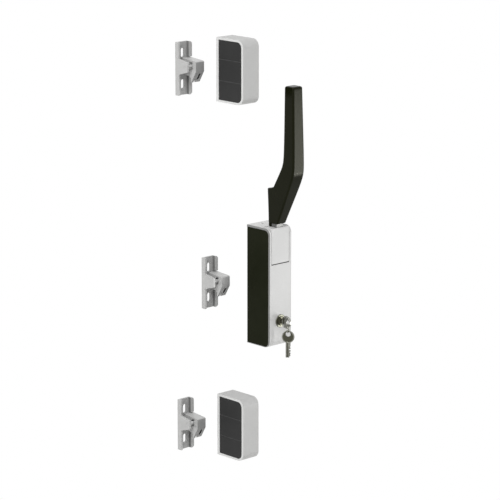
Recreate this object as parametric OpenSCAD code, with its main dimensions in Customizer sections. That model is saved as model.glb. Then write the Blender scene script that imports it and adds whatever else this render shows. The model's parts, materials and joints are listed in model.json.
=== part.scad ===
// Three-point door lock: lever case with key cylinder, two end latch boxes and three hook strikes.
// Units are mm. Z is up, Y is zero on the door face and grows into the door, the front faces -Y.
// In side outlines x is the distance u in front of the door face and y is the height.

/* [Lever case] */
// Width of the lever case
case_w = 37; // [35:0.5:44]
// Depth of the lever case from the door face
case_d = 42; // [38:0.5:46]
// Height of the lever case
case_h = 154; // [140:1:180]
// Wall of the cast shells
case_wall = 2.6; // [2:0.1:3]
// Radius of the front top and bottom corners of the lever case
case_r = 9; // [5:0.5:11]

/* [End boxes] */
// Width of an end box
box_w = 27; // [27:0.5:34]
// Depth of an end box
box_d = 48; // [46:0.5:54]
// Height of an end box
box_h = 80; // [78:1:96]
// Back wall of an end box
box_back = 4; // [3.4:0.1:4]
// Radius of the front corners of an end box
box_r = 10; // [5:0.5:11]

/* [Side caps] */
// Thickness of a side cap
cap_t = 2.5; // [2:0.1:2.5]
// Depth of the cap below the shell edge
cap_in = 0.5; // [0.3:0.1:0.8]
// Gap round a cap in its shell
cap_gap = 0.15; // [0.1:0.05:0.3]
// Depth of the two moulded lines on an end box cap
cap_line = 0.3; // [0.2:0.1:0.6]
// Edge of the lever case left below its side caps
cap_low = 0.8; // [0.6:0.1:1.2]

/* [Lever] */
// Rise of the lever above the case
lever_rise = 182; // [150:1:200]
// Distance of the grip's rear face from the door face
grip_u = 56; // [54:1:62]
// Depth of the grip
grip_d = 16.5; // [14:0.5:18]
// Width of the grip at its top
grip_w = 17; // [14:0.5:18]
// Width of the lever at its bend
bend_w = 20; // [16:0.5:21]
// Width of the lever at its root
root_w = 15.5; // [13:0.5:17]
// Height of the lever root block
root_h = 50; // [46:1:54]
// Height of the bend of the grip above the case
bend_h = 72; // [68:1:78]
// Rounding of the lever edges
grip_r = 2.4; // [1.5:0.1:3.5]
// Travel of the lever in degrees
lever_turn = 45; // [40:1:45]

/* [Hub and crank] */
// Height of the lever hub block on the case front
block_h = 46; // [44:0.5:48]
// Distance of the pivot behind the case front
pivot_in = 20; // [19:0.5:20]
// Height of the pivot above the case centre
pivot_z = 22; // [22:0.5:23]
// Radius of the pivot pin
pivot_r = 4; // [3.5:0.1:4.2]
// Radius of the crank
crank = 12; // [11.5:0.1:12.2]
// Radius of the crank pin
crank_pin_r = 2.5; // [2.2:0.1:2.6]
// Gap between hub block and case along their arc
arc_gap = 0.8; // [0.5:0.05:0.9]
// Running clearance of turning pins
run_gap = 0.05; // [0.03:0.01:0.08]
// Sliding clearance of the crank pin in its fork
fork_gap = 0.3; // [0.25:0.05:0.4]

/* [Latch slide] */
// Inner half width of the slide, which clears the strike nose
yoke_half = 7.5; // [7.3:0.1:7.6]
// Thickness of a slide arm
yoke_t = 2.5; // [2.3:0.1:2.5]
// Radius of the latch roller
roller_r = 3.75; // [3.5:0.05:4]
// Radius of the roller axle
axle_r = 2; // [1.5:0.1:2.2]
// Height of the latched roller below the case centre
roller_drop = 12.5; // [12:0.5:13]
// Distance of the roller axis from the door face
roller_u = 8.2; // [8.2:0.1:8.6]
// Wire radius of the slide springs
wire_r = 0.6; // [0.5:0.05:0.8]
// Mean radius of the slide springs
coil_r = 3.9; // [3.7:0.1:4.2]
// Distance of the spring axis behind the case front
spring_in = 9; // [8.6:0.1:9.4]

/* [Key lock] */
// Distance of the cylinder axis below the case centre
lock_drop = 44; // [43.5:0.5:46]
// Radius of the cylinder body
lock_r = 7.6; // [7.4:0.1:8.6]
// Radius of the turning plug
plug_r = 5.6; // [5.4:0.1:6]
// Thickness of a key
key_t = 2; // [1.8:0.1:2.2]
// Radius of a key bow
bow_r = 8; // [7.8:0.1:8.6]
// Radius of the hole in a key bow
bow_hole = 3.2; // [3.1:0.1:3.4]
// Distance of the hole from the centre of the bow
hole_off = 3.4; // [3:0.1:3.6]
// Height of a key blade
blade_h = 6; // [5.4:0.1:6.4]
// Blade length of the inserted key
blade_l = 24; // [20:0.5:26]
// Blade length of the spare key
spare_l = 19; // [17:0.5:24]
// Gap between the plug face and the bow of the inserted key
bow_gap = 1.1; // [0.8:0.1:4]
// Mean radius of the key ring
ring_r = 5.2; // [5:0.1:7]
// Wire radius of the key ring
ring_wire = 0.7; // [0.6:0.05:0.8]
// Play of the ring in the key holes
ring_gap = 0.3; // [0.25:0.05:0.5]
// Turn of the ring plane from the case front in degrees
ring_turn = 35; // [25:1:36]

/* [Strikes] */
// Width of a strike
strike_w = 22; // [21:0.5:25]
// Height of a strike
strike_h = 66; // [64:1:80]
// Depth of the strike channel
strike_rim = 6.4; // [6:0.1:6.6]
// Width of the flange on the nose side of a strike
strike_flange = 5; // [3:0.1:6]
// Thickness of the strike metal
strike_t = 2.6; // [2.4:0.1:3]
// Depth of the strike nose front
nose_d = 28.5; // [28:0.1:29]
// Width of the strike nose
nose_w = 13.4; // [12:0.1:13.8]
// Width of a mounting slot
slot_w = 5.6; // [5:0.1:6]
// Length of a mounting slot over its round ends
slot_l = 12; // [10:0.5:13]
// Spacing of the two mounting slots
slot_gap = 39; // [38:0.5:42]
// Radius of the nose clamping bolt
bolt_r = 2; // [1.8:0.1:2.4]
// Adjusting travel of the nose
nose_travel = 3; // [2:0.5:3.5]

/* [Mounting] */
// Radius of a tapped mounting hole in the end boxes
tap_r = 2.1; // [2:0.05:2.3]
// Horizontal spacing of the mounting holes
tap_x = 16; // [15:0.5:17]
// Height of the upper and lower mounting holes from the end box centre
tap_z = 33.6; // [33.5:0.1:34]
// Height of the upper and lower mounting holes from the lever case centre
main_tap_z = 60; // [58:0.5:62]

/* [Layout on the door] */
// Sideways offset of the end boxes from the lever case
box_x = -56.5; // [-70:0.5:-40]
// Height of the upper box centre
upper_z = 280; // [200:1:800]
// Height of the lower box centre
lower_z = -175; // [-800:1:-150]
// Frame plane behind the door face, where the strikes are shown
frame_y = 28; // [20:1:40]
// Sideways gap from an end box edge to its strike edge
end_strike_x = 42.5; // [34:0.1:60]
// Sideways gap from the lever case edge to its strike edge
mid_strike_x = 52; // [40:0.5:60]
// Height of the middle strike above the lever case centre as shown
mid_lift = 4.5; // [0:0.5:6]
// Height of an end strike above its box centre as shown
end_lift = 2; // [0:0.5:6]

/* [Hidden] */
$fn = 48;
eps = 0.01;
main_half = case_w / 2 - cap_in - cap_t;
box_half = box_w / 2 - cap_in - cap_t;
case_top = case_h / 2;
front_in = case_d - case_wall;
main_cap_h = case_h - case_wall - cap_gap - cap_low;
main_cap_z = (cap_low - case_wall - cap_gap) / 2;
line_z = case_top - block_h;
pivot_u = case_d - pivot_in;
arc_r = sqrt(pow(case_d - pivot_u, 2) + pow(line_z - pivot_z, 2));
crank_u = pivot_u + crank * cos(lever_turn / 2);
crank_z = pivot_z + crank * sin(lever_turn / 2);
travel = 2 * crank * sin(lever_turn / 2);
plate_t = 3;
block_half = main_half - 0.4;
cut_half = block_half + 0.5;
ear_in = yoke_half + yoke_t + 0.6;
ear_out = main_half - 0.3;
cheek_in = 2.9;
cheek_out = 7.1;
cheek_r = 7.5;
ear_r = 7;
clip_r = pivot_r + 1.6;
hub_back = 6;
hub_low = 16;
hub_high = 30;
tab_u = 9;
tab_half = 9;
tab_reach = 15;
tab_t = 3;
tail_half = cheek_in - 0.4;
win_half_z = 29;
yoke_out = yoke_half + yoke_t;
yoke_back = box_back + 0.4;
bridge_u = nose_d - 6;
bridge_t = 4;
bridge_h = 14;
arm_d = 7.6;
arm_top = 28.5;
arm_low = 4.5;
eye_z = 25.5;
eye_r = 2.1;
eye_h = 6;
seat_half = 5;
seat_t = 4;
pad_t = 1.2;
post_r = coil_r - wire_r - 0.4;
post_h = 3;
spring_u = case_d - spring_in;
seat_top = -6;
shelf_z = -28.5;
shelf_t = 2;
lock_z = -lock_drop;
cam_reach = min(11, main_half - 4.5);
cam_end = 4;
cam_angle = 53.5;
cam_u = 10.9;
cam_t = 2.6;
tail_gap = 0.3;
tail_low = lock_z + cam_reach * sin(cam_angle) + cam_end + tail_gap;
plug_face = case_d + 2;
hole_u = plug_face + bow_gap + bow_r + hole_off;
ring_top = -bow_hole + ring_wire + ring_gap;
ring_low = ring_top - 2 * ring_r;
spare_hole = ring_low + ring_wire + ring_gap - bow_hole;
neck_low = case_top - 2.2;
root_z = case_top + 4.8;
root_in = 15;
root_back = case_d - root_in;
root_front = case_d + 2;
neck_back = case_d - 10.5;
neck_front = case_d - 1.6;
neck_half = 5.4;
tongue_half = 4;
tongue_h = 24;
screw_z = root_z + 15;
screw_r = 2;
screw_head = 4.2;
screw_t = 3;
lever_top = case_top + lever_rise;
bend_z = case_top + bend_h;
slot_x = (strike_t + strike_w - strike_flange) / 2;
nose_mid = strike_w - nose_w / 2;

// Side outline, drawn as forward distance and height, made w wide about the plane x.
module side(x, w) {
    translate([x, 0, 0])
        rotate([90, 0, -90])
            linear_extrude(height = w, center = true)
                children();
}

// Round bar along X through u and z.
module bar_x(x, u, z, r, l) {
    translate([x, -u, z])
        rotate([0, 90, 0])
            cylinder(r = r, h = l, center = true);
}

// Round bar along Y from u1 to u2.
module bar_y(x, z, u1, u2, r) {
    translate([x, -u1, z])
        rotate([90, 0, 0])
            cylinder(r = r, h = u2 - u1);
}

// Block between two corners given as x, u and z.
module block(x1, x2, u1, u2, z1, z2) {
    translate([x1, -u2, z1])
        cube([x2 - x1, u2 - u1, z2 - z1]);
}

// Outline with square back corners and round front corners.
module case_outline(d, h, r) {
    translate([0, -h / 2])
        square([d - r, h]);
    translate([0, -h / 2 + r])
        square([d, h - 2 * r]);
    translate([d - r, h / 2 - r])
        circle(r);
    translate([d - r, -h / 2 + r])
        circle(r);
}

// Flat bar outline with round ends between two points.
module link(a, b, r) {
    d = b - a;
    translate(a)
        circle(r);
    translate(b)
        circle(r);
    translate(a)
        rotate(atan2(d[1], d[0]))
            translate([0, -r])
                square([norm(d), 2 * r]);
}

// Hollow shell of a case, with a back wall of the given thickness or an open back.
module shell(w, d, h, r, back) {
    side(0, w)
        difference() {
            case_outline(d, h, r);
            translate([back, 0])
                case_outline(d - case_wall - back, h - 2 * case_wall, r - case_wall);
            if (back == 0)
                translate([-1, -h / 2 + case_wall])
                    square([2, h - 2 * case_wall]);
        }
}

// Black cap that closes one side of a shell.
module cap(w, d, h, r, back, s, lines) {
    difference() {
        side(s * (w / 2 - cap_in - cap_t / 2), cap_t)
            translate([back + (back > 0 ? cap_gap : 0), 0])
                case_outline(d - case_wall - back - (back > 0 ? 2 : 1) * cap_gap,
                    h - 2 * case_wall - 2 * cap_gap, r - case_wall - cap_gap);
        if (lines)
            for (k = [-1, 1])
                translate([s * (w / 2 - cap_in), -d / 2, k * h / 6])
                    cube([2 * cap_line, d, 2 * cap_line], center = true);
    }
}

// Outline of a lever case cap, grown by g for its recess in the shell.
module main_cap_outline(g) {
    translate([0, main_cap_z])
        case_outline(front_in - cap_gap + g, main_cap_h + 2 * g, case_r - case_wall - cap_gap + g);
}

module main_cap(s) {
    side(s * (case_w / 2 - cap_in - cap_t / 2), cap_t)
        main_cap_outline(0);
}

// Sliding fork that carries the latch roller.
module yoke() {
    difference() {
        union() {
            for (s = [-1, 1])
                side(s * (yoke_half + yoke_t / 2), yoke_t) {
                    translate([yoke_back, -roller_drop - arm_low])
                        square([arm_d, roller_drop + arm_low + arm_top]);
                    translate([yoke_back, seat_top])
                        square([bridge_u + bridge_t - yoke_back, bridge_h]);
                }
            block(-yoke_out, yoke_out, bridge_u, bridge_u + bridge_t, seat_top, seat_top + bridge_h);
            block(-yoke_out, yoke_out, yoke_back, yoke_back + arm_d, arm_top - eye_h, arm_top);
            block(-seat_half, seat_half, bridge_u + 1, spring_u + seat_half, seat_top, seat_top + seat_t);
            translate([0, -spring_u, seat_top - post_h])
                cylinder(r = post_r, h = post_h + 1);
        }
        bar_x(0, roller_u, -roller_drop, axle_r + 0.02, 2 * yoke_out + 1);
        bar_y(0, eye_z, yoke_back - 1, yoke_back + arm_d + 1, eye_r);
    }
}

// Fork slide of the lever case with the crank fork and the lock tail.
module yoke_driven() {
    yoke();
    difference() {
        side(0, 2 * tail_half)
            union() {
                translate([bridge_u + 1, seat_top])
                    square([front_in - 0.8 - bridge_u - 1, bridge_h]);
                translate([crank_u - crank_pin_r - 3.6, seat_top])
                    square([front_in - 0.8 - crank_u + crank_pin_r + 3.6, crank_z - seat_top + 5]);
            }
        block(-9, 9, crank_u - crank_pin_r - 0.6, case_d + 1,
            crank_z - crank_pin_r - fork_gap, crank_z + crank_pin_r + fork_gap);
    }
    block(yoke_half, yoke_out, yoke_back, cam_u + cam_t, tail_low, -roller_drop - 4);
}

// Latch roller.
module roller() {
    difference() {
        bar_x(0, roller_u, -roller_drop, roller_r, 2 * yoke_half - 0.6);
        bar_x(0, roller_u, -roller_drop, axle_r + run_gap, 2 * yoke_half);
    }
}

// Roller axle.
module axle() {
    bar_x(0, roller_u, -roller_drop, axle_r, 2 * yoke_out - 0.2);
}

// Helical spring between two heights.
function ring_at(i, n, z1, z2, turns) = [
    for (k = [0 : 5])
        let (a = 360 * turns * i / n, b = 60 * k, q = coil_r + wire_r * cos(b))
            [q * cos(a), q * sin(a), z1 + wire_r + (z2 - z1 - 2 * wire_r) * i / n + wire_r * sin(b)]
];

module coil(z1, z2, turns) {
    n = turns * 16;
    pts = [for (i = [0 : n]) each ring_at(i, n, z1, z2, turns)];
    skin = [for (i = [0 : n - 1], k = [0 : 5])
        [6 * i + k, 6 * i + (k + 1) % 6, 6 * i + 6 + (k + 1) % 6, 6 * i + 6 + k]];
    ends = [[5, 4, 3, 2, 1, 0], [for (k = [0 : 5]) 6 * n + k]];
    translate([0, -spring_u, 0])
        polyhedron(points = pts, faces = concat(skin, ends));
}

module main_housing() {
    color([0.84, 0.84, 0.83])
        difference() {
            shell(case_w, case_d, case_h, case_r, 0);
            difference() {
                block(-cut_half, cut_half, root_back - 1, case_d + 1, pivot_z, case_top + 1);
                bar_x(0, pivot_u, pivot_z, arc_r - arc_gap, case_w);
            }
            bar_y(0, lock_z, front_in - 1, case_d + 1, lock_r + 0.1);
            for (s = [-1, 1])
                side(s * (main_half + case_w / 2 + 1) / 2, case_w / 2 + 1 - main_half) {
                    main_cap_outline(cap_gap);
                    translate([-1, main_cap_z - main_cap_h / 2 - cap_gap])
                        square([2, main_cap_h + 2 * cap_gap]);
                }
            for (s = [-1, 1])
                translate([0, -tab_u, s * case_top])
                    cylinder(r = 2.2, h = 12, center = true);
            for (s = [-1, 1])
                translate([0, -tab_u, s * (case_top - 1.1)])
                    cylinder(r1 = s > 0 ? 2.2 : 4.5, r2 = s > 0 ? 4.5 : 2.2, h = 2.3, center = true);
        }
}

module main_cap_left() {
    color([0.17, 0.17, 0.14])
        main_cap(-1);
}

module main_cap_right() {
    color([0.17, 0.17, 0.14])
        main_cap(1);
}

module main_back_plate() {
    tab_z = case_top - case_wall - 0.1;
    color([0.62, 0.63, 0.64])
        difference() {
            union() {
                block(-main_half + 0.2, main_half - 0.2, 0, plate_t, -tab_z, tab_z);
                for (s = [-1, 1])
                    block(-tab_half, tab_half, plate_t - 1, tab_reach,
                        s > 0 ? tab_z - tab_t : -tab_z, s > 0 ? tab_z : -tab_z + tab_t);
                for (s = [-1, 1])
                    side(s * (ear_in + ear_out) / 2, ear_out - ear_in) {
                        translate([plate_t - 1, pivot_z - ear_r])
                            square([pivot_u - plate_t + 1, 2 * ear_r]);
                        translate([pivot_u, pivot_z])
                            circle(ear_r);
                    }
                block(-6, 6, plate_t - 1, spring_u + 5.5, shelf_z - shelf_t, shelf_z);
                translate([0, -spring_u, shelf_z - 1])
                    cylinder(r = post_r, h = post_h + 1);
            }
            block(-yoke_half, yoke_half, -1, plate_t + eps, shelf_z + 1, win_half_z);
            bar_x(0, pivot_u, pivot_z, pivot_r + 0.02, case_w);
            for (s = [-1, 1])
                for (x = [-tap_x / 2, tap_x / 2])
                    bar_y(x, s * main_tap_z, -1, plate_t + 1, tap_r);
            for (s = [-1, 1])
                translate([0, -tab_u, s * tab_z])
                    cylinder(r = 1.9, h = 10, center = true);
        }
}

module case_screws() {
    color([0.7, 0.7, 0.7])
        for (s = [-1, 1])
            translate([0, -tab_u, s * case_top])
                rotate([s > 0 ? 180 : 0, 0, 0])
                    difference() {
                        union() {
                            translate([0, 0, 0.1])
                                cylinder(r1 = 4.2, r2 = 1.85, h = 2.3);
                            cylinder(r = 1.85, h = 9);
                        }
                        translate([0, 0, -1])
                            cylinder(r = 1.4, h = 2.4, $fn = 6);
                    }
}

module hub_outline() {
    difference() {
        polygon([[pivot_u - hub_back, pivot_z + hub_low], [pivot_u - hub_back, pivot_z + hub_high],
            [root_back + 1, case_top - hub_back],
            [root_back + 1, neck_low], [case_d - 2.2, neck_low], [case_d - 2.2, pivot_z + 6],
            [pivot_u, pivot_z + 6]]);
        translate([pivot_u, pivot_z])
            circle(arc_r + 0.3);
    }
}

module hub_cheek() {
    translate([pivot_u - hub_back, pivot_z])
        square([hub_back + 3, arc_r + 6]);
    translate([pivot_u, pivot_z])
        circle(cheek_r);
    link([pivot_u, pivot_z], [crank_u, crank_z], 4.6);
}

module lever_hub() {
    color([0.66, 0.66, 0.65])
        difference() {
            union() {
                side(0, 2 * cheek_out)
                    hub_outline();
                for (s = [-1, 1])
                    side(s * (cheek_in + cheek_out) / 2, cheek_out - cheek_in)
                        hub_cheek();
                block(-neck_half, neck_half, neck_back, neck_front, neck_low - 1, root_z);
                block(-tongue_half, tongue_half, neck_back + 1, neck_front - 1,
                    root_z - 1, root_z + tongue_h);
            }
            bar_x(0, pivot_u, pivot_z, pivot_r + run_gap, 2 * cheek_out + 1);
            bar_x(0, crank_u, crank_z, crank_pin_r + 0.02, 2 * cheek_out + 1);
            bar_y(0, screw_z, neck_back, neck_front, screw_r + 0.1);
        }
}

module hub_cover() {
    color([0.85, 0.85, 0.84])
        difference() {
            block(-block_half, block_half, root_back + 0.5, case_d, pivot_z, case_top);
            bar_x(0, pivot_u, pivot_z, arc_r, case_w);
            block(-block_half + 2.2, block_half - 2.2, root_back - 1, case_d - 2.2, pivot_z - 1, neck_low);
            block(-neck_half - 0.2, neck_half + 0.2, neck_back - 0.2, neck_front + 0.2,
                neck_low - 1, case_top + 1);
        }
}

// Soft change from one straight line to another.
function soft(a, b, s) = (a + b) / 2 - sqrt(pow((a - b) / 2, 2) + s * s);
function front_u(z) = soft(root_front + (z - root_z) * 0.48,
    grip_u + grip_d + 0.03 * (lever_top - z), 2.2);
function rear_u(z) = z < case_top + root_h ? root_back
    : soft(root_back + 9.5 + (z - case_top - root_h) * 0.62, grip_u + 0.6, 2.6);
function half_w(z) = z < bend_z
    ? (root_w + (bend_w - root_w) * pow(sin(90 * (z - case_top) / (bend_z - case_top)), 2)) / 2
    : (bend_w + (grip_w - bend_w) * (z - bend_z) / (lever_top - bend_z)) / 2;
function corner(u, x, r, a0) = [for (k = [0 : 4]) let (a = a0 + 22.5 * k) [x + r * cos(a), -u + r * sin(a)]];
function section(z, u1, u2, inset) =
    let (w = half_w(z) - inset, r = grip_r, a = u1 + inset + r, b = u2 - inset - r)
    [for (p = concat(corner(a, w - r, r, 0), corner(a, -w + r, r, 90),
        corner(b, -w + r, r, 180), corner(b, w - r, r, 270))) [p[0], p[1], z]];

module loft(rings) {
    n = len(rings);
    m = len(rings[0]);
    pts = [for (q = rings) each q];
    skin = [for (i = [0 : n - 2], k = [0 : m - 1])
        [m * i + k, m * i + m + k, m * i + m + (k + 1) % m, m * i + (k + 1) % m]];
    ends = [[for (k = [0 : m - 1]) k], [for (k = [m - 1 : -1 : 0]) m * (n - 1) + k]];
    polyhedron(points = pts, faces = concat(skin, ends));
}

module lever_grip() {
    step_z = case_top + root_h;
    rise = lever_top - step_z - 4;
    color([0.15, 0.15, 0.12])
        difference() {
            union() {
                loft(concat(
                    [section(root_z, root_back, front_u(root_z), 0.8)],
                    [section(root_z + 0.8, root_back, front_u(root_z + 0.8), 0)],
                    [for (k = [1 : 5]) let (z = root_z + (step_z - 1 - root_z) * k / 5)
                        section(z, root_back, front_u(z), 0)],
                    [section(step_z - 0.3, root_back + 0.8, front_u(step_z - 0.3), 0)],
                    [section(step_z + 0.3, root_back + 6, front_u(step_z + 0.3), 0)],
                    [for (k = [0 : 20]) let (z = step_z + 2 + rise * k / 20)
                        section(z, rear_u(z), front_u(z), 0)],
                    [for (k = [0 : 3]) let (z = lever_top - 2 + 2 * sin(30 * k))
                        section(z, rear_u(z), front_u(z), 2 * (1 - cos(30 * k)))]
                ));
                side(0, root_w - 2)
                    translate([root_back, case_top + 0.4])
                        square([3.9, 8]);
            }
            block(-tongue_half - 0.1, tongue_half + 0.1, neck_back + 0.9, neck_front - 0.9,
                root_z - 1, root_z + tongue_h + 0.2);
            bar_y(0, screw_z, root_back - 1, neck_back + 2, screw_r + 0.6);
            bar_y(0, screw_z, root_back - 1, root_back + screw_t + 0.4, screw_head + 0.4);
        }
}

module grip_screw() {
    color([0.55, 0.55, 0.55])
        difference() {
            union() {
                bar_y(0, screw_z, root_back + 0.4, root_back + screw_t + 0.4, screw_head);
                bar_y(0, screw_z, root_back + 1, neck_front - 1.2, screw_r);
            }
            translate([0, -root_back + 1, screw_z])
                rotate([90, 0, 0])
                    cylinder(r = 2.2, h = 3, $fn = 6);
        }
}

module crank_pin() {
    color([0.7, 0.7, 0.7])
        bar_x(0, crank_u, crank_z, crank_pin_r, 2 * cheek_out);
}

module pivot_pin() {
    color([0.7, 0.7, 0.7])
        bar_x(0, pivot_u, pivot_z, pivot_r, 2 * ear_out);
}

module pivot_clips() {
    color([0.45, 0.45, 0.45])
        for (s = [-1, 1])
            difference() {
                bar_x(s * (cheek_out + ear_in) / 2, pivot_u, pivot_z, clip_r, ear_in - cheek_out - 0.6);
                bar_x(s * (cheek_out + ear_in) / 2, pivot_u, pivot_z, pivot_r + 0.02, ear_in - cheek_out);
            }
}

module main_yoke() {
    color([0.6, 0.6, 0.6])
        yoke_driven();
}

module main_roller() {
    color([0.75, 0.75, 0.74])
        roller();
}

module main_axle() {
    color([0.5, 0.5, 0.5])
        axle();
}

module main_spring() {
    color([0.6, 0.6, 0.62])
        coil(shelf_z, seat_top, 6);
}

module lock_cylinder() {
    color([0.72, 0.72, 0.7])
        difference() {
            union() {
                bar_y(0, lock_z, 16, case_d + 0.5, lock_r);
                bar_y(0, lock_z, case_d, case_d + 1, lock_r + 0.7);
            }
            bar_y(0, lock_z, 15, case_d + 3, plug_r + run_gap);
        }
}

module cylinder_nut() {
    color([0.65, 0.65, 0.62])
        difference() {
            bar_y(0, lock_z, front_in - 4.5, front_in, lock_r + 2.2);
            bar_y(0, lock_z, front_in - 6, front_in + 1, lock_r + 0.02);
        }
}

module lock_plug() {
    color([0.5, 0.5, 0.42])
        difference() {
            union() {
                bar_y(0, lock_z, 14, plug_face, plug_r);
                bar_y(0, lock_z, 8.4, 15, 4);
            }
            block(-key_t / 2 - 0.1, key_t / 2 + 0.1, 18, plug_face + 1,
                lock_z - blade_h / 2 - 0.3, lock_z + blade_h / 2 + 0.3);
            bar_y(0, lock_z, 8, 13, 1.5);
        }
}

module lock_cam() {
    color([0.6, 0.6, 0.6])
        difference() {
            translate([0, -cam_u, lock_z])
                rotate([90, 0, 0])
                    linear_extrude(height = cam_t)
                        link([0, 0], cam_reach * [cos(cam_angle - 90), sin(cam_angle - 90)], cam_end);
            bar_y(0, lock_z, 9, 15, 4.02);
        }
    color([0.6, 0.6, 0.6])
        difference() {
            bar_y(0, lock_z, cam_u, cam_u + cam_t, 6.4);
            bar_y(0, lock_z, 9, 15, 4.02);
        }
}

module cam_screw() {
    color([0.6, 0.6, 0.6])
        union() {
            bar_y(0, lock_z, 6.4, 8.4, 5);
            bar_y(0, lock_z, 8, 12, 1.45);
        }
}

// Key with the bow centre at the origin and the blade along +x, with a rimmed bow and a grooved blade.
module key_outline(l) {
    difference() {
        union() {
            circle(bow_r);
            translate([0, -blade_h / 2])
                square([bow_r + l - 2, blade_h]);
            translate([bow_r + l - 2.2, -blade_h / 4])
                square([2.2, blade_h * 0.75]);
        }
        translate([-hole_off, 0])
            circle(bow_hole);
        for (k = [0 : 3])
            translate([bow_r + 4.4 + 3.4 * k, -blade_h / 2 - 0.8])
                square([1.6, 1.5 + 0.6 * ((k * 2) % 3)]);
    }
}

module key(l) {
    difference() {
        linear_extrude(height = key_t, center = true)
            key_outline(l);
        for (s = [-1, 1])
            translate([0, 0, s * key_t / 2])
                cylinder(r = bow_r - 1.3, h = 0.5, center = true);
        for (s = [-1, 1])
            translate([bow_r + l / 2 + 1, 0.6, s * key_t / 2])
                cube([l + 2, 1.2, 0.8], center = true);
    }
}

module inserted_key() {
    color([0.6, 0.6, 0.57])
        translate([0, -hole_u + hole_off, lock_z])
            rotate([90, 0, 90])
                key(blade_l);
}

module key_ring() {
    color([0.7, 0.7, 0.7])
        translate([0, -hole_u, lock_z + ring_top - ring_r])
            rotate([90, 0, ring_turn])
                rotate_extrude()
                    translate([ring_r, 0])
                        circle(ring_wire);
}

module spare_key() {
    color([0.45, 0.45, 0.42])
        translate([0, -hole_u, lock_z + spare_hole - hole_off])
            rotate([0, 0, ring_turn])
                rotate([0, 90, 0])
                    key(spare_l);
}

// Shell of an end latch box.
module box_housing() {
    color([0.83, 0.83, 0.82])
        difference() {
            union() {
                shell(box_w, box_d, box_h, box_r, box_back);
                translate([0, -spring_u, -box_h / 2 + case_wall - 1])
                    cylinder(r = coil_r + wire_r + 0.5, h = 1 + pad_t);
                translate([0, -spring_u, -box_h / 2 + case_wall - 1])
                    cylinder(r = post_r, h = 1 + pad_t + post_h);
            }
            block(-yoke_half, yoke_half, -1, box_back + 1, -win_half_z, win_half_z);
            for (s = [-1, 1])
                for (x = [-tap_x / 2, tap_x / 2])
                    bar_y(x, s * tap_z, -1, box_back + 1, tap_r);
        }
}

module box_cap(s) {
    color([0.24, 0.24, 0.24])
        cap(box_w, box_d, box_h, box_r, box_back, s, true);
}

module at_upper() {
    translate([box_x, 0, upper_z])
        children();
}

module at_lower() {
    translate([box_x, 0, lower_z])
        children();
}

module upper_housing() {
    at_upper()
        box_housing();
}

module upper_cap_left() {
    at_upper()
        box_cap(-1);
}

module upper_cap_right() {
    at_upper()
        box_cap(1);
}

module upper_yoke() {
    color([0.6, 0.6, 0.6])
        at_upper()
            yoke();
}

module upper_roller() {
    color([0.75, 0.75, 0.74])
        at_upper()
            roller();
}

module upper_axle() {
    color([0.5, 0.5, 0.5])
        at_upper()
            axle();
}

module upper_spring() {
    color([0.6, 0.6, 0.62])
        at_upper()
            coil(-box_h / 2 + case_wall + pad_t, seat_top, 7);
}

module lower_housing() {
    at_lower()
        box_housing();
}

module lower_cap_left() {
    at_lower()
        box_cap(-1);
}

module lower_cap_right() {
    at_lower()
        box_cap(1);
}

module lower_yoke() {
    color([0.6, 0.6, 0.6])
        at_lower()
            yoke();
}

module lower_roller() {
    color([0.75, 0.75, 0.74])
        at_lower()
            roller();
}

module lower_axle() {
    color([0.5, 0.5, 0.5])
        at_lower()
            axle();
}

module lower_spring() {
    color([0.6, 0.6, 0.62])
        at_lower()
            coil(-box_h / 2 + case_wall + pad_t, seat_top, 7);
}

// Strike pieces stand with the left edge at x zero and the back on y zero.
nose_rear = strike_t + 0.2;
bolt_u = 18;
bolt_z = 4.5;
edge_r = 3.5;
gusset_u = 22.5;
rim_gap = 0.3;
seat_u = roller_u + strike_rim + rim_gap;
seat_r = roller_r + 0.6;
hook_low = roller_drop + 3.3;
nose_top = 13;
nose_under = 7.2;
ramp_top = 1.8;
ramp_run = 8;
pocket_d = 5;
pocket_half = 5.1;
fork_left = 3.6;
fork_right = 1.2;
groove_x = 1.2;

module strike_base() {
    color([0.72, 0.72, 0.71])
        difference() {
            union() {
                difference() {
                    rotate([90, 0, 0])
                        linear_extrude(height = strike_rim)
                            union() {
                                translate([0, -strike_h / 2])
                                    square([strike_w - edge_r, strike_h]);
                                translate([0, -strike_h / 2 + edge_r])
                                    square([strike_w, strike_h - 2 * edge_r]);
                                for (s = [-1, 1])
                                    translate([strike_w - edge_r, s * (strike_h / 2 - edge_r)])
                                        circle(edge_r);
                            }
                    block(strike_t, strike_w - strike_flange, strike_t, strike_rim + 1, -strike_h, strike_h);
                    block(strike_w - nose_w - 0.4, strike_w + 1, strike_t, strike_rim + 1,
                        -nose_under - 2.3, nose_top + 1);
                }
                side(strike_t / 2, strike_t)
                    polygon([[1, nose_top + 0.4], [strike_rim, nose_top - 0.4], [gusset_u, nose_top - 3.4],
                        [gusset_u, -2], [strike_rim, -nose_under + 0.4], [1, -nose_under - 1]]);
            }
            for (s = [-1, 1])
                for (k = [-1, 1])
                    bar_y(slot_x, s * slot_gap / 2 + k * (slot_l - slot_w) / 2,
                        -1, strike_t + 1, slot_w / 2);
            for (s = [-1, 1])
                block(slot_x - slot_w / 2, slot_x + slot_w / 2, -1, strike_t + 1,
                    s * slot_gap / 2 - (slot_l - slot_w) / 2, s * slot_gap / 2 + (slot_l - slot_w) / 2);
            bar_x(0, bolt_u, bolt_z, bolt_r + 0.02, 4 * strike_t);
        }
}

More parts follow.
